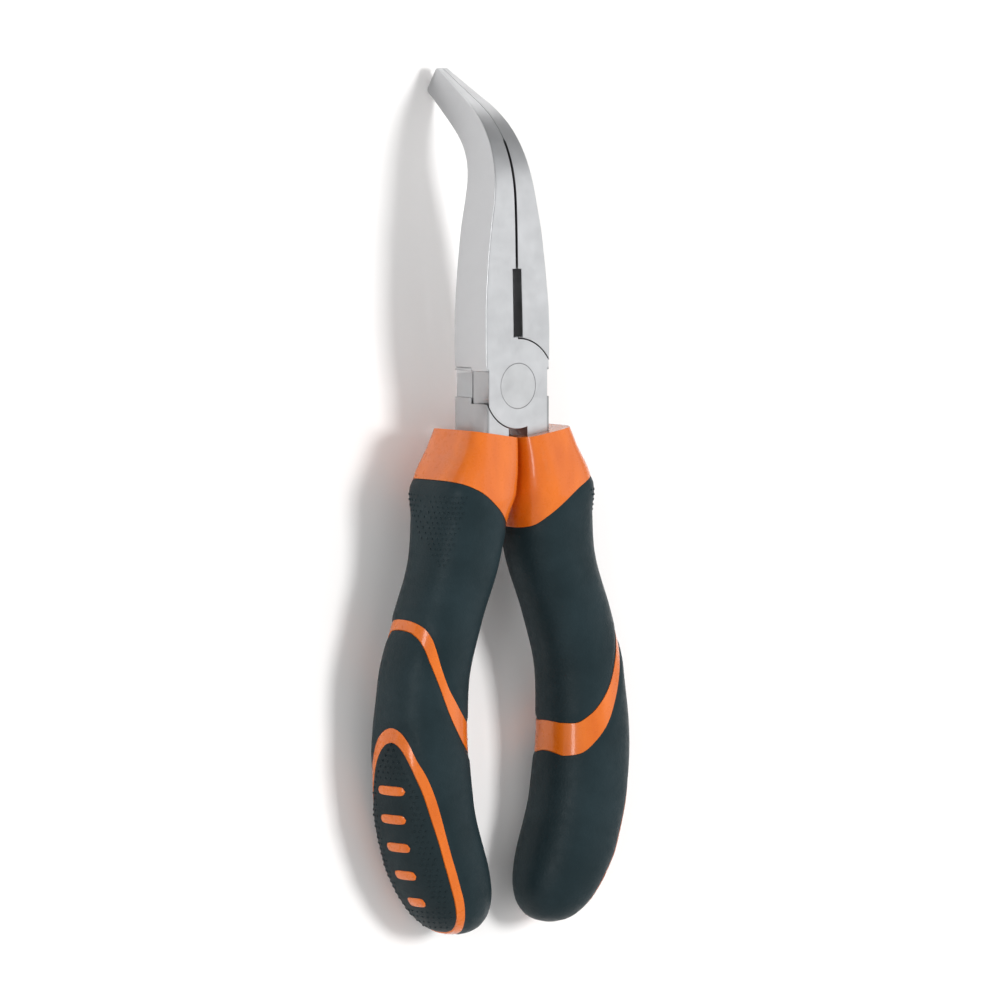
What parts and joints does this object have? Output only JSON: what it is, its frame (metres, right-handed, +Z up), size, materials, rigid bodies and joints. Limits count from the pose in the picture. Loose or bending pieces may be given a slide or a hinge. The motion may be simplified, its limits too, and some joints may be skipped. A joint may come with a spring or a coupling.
{
  "type": "bent needle nose pliers",
  "caption": "Long bent-nose pliers with a lap joint, side cutting slot, flush rivet and soft two-tone handles.",
  "frame": {"origin": "centre of the bounding box on the surface the pliers lie on", "axes": "+Y towards the nose, +Z up out of the bench, +X towards the right handle"},
  "size_m": [0.0566, 0.1598, 0.0228],
  "materials": {
    "steel": "satin",
    "hard_plastic": "gloss",
    "soft_grip": "matte",
    "panel_grip": "matte"
  },
  "bodies": {
    "rear_tool_half": {"rear_half": "steel", "pivot_rivet": "steel", "left_core": "hard_plastic", "left_upper_grip": "soft_grip", "left_lower_grip": "soft_grip", "left_end_panel": "panel_grip"},
    "front_tool_half": {"front_half": "steel", "right_core": "hard_plastic", "right_upper_grip": "soft_grip", "right_lower_grip": "soft_grip", "right_end_panel": "panel_grip"}
  },
  "joints": [
    {"name": "pivot", "type": "hinge", "parent": "rear_tool_half", "child": "front_tool_half", "pos_m": [0, 0.0205, 0.01581], "axis": [0, -0.0832, 0.9965], "range_deg": [0, 40]}
  ]
}
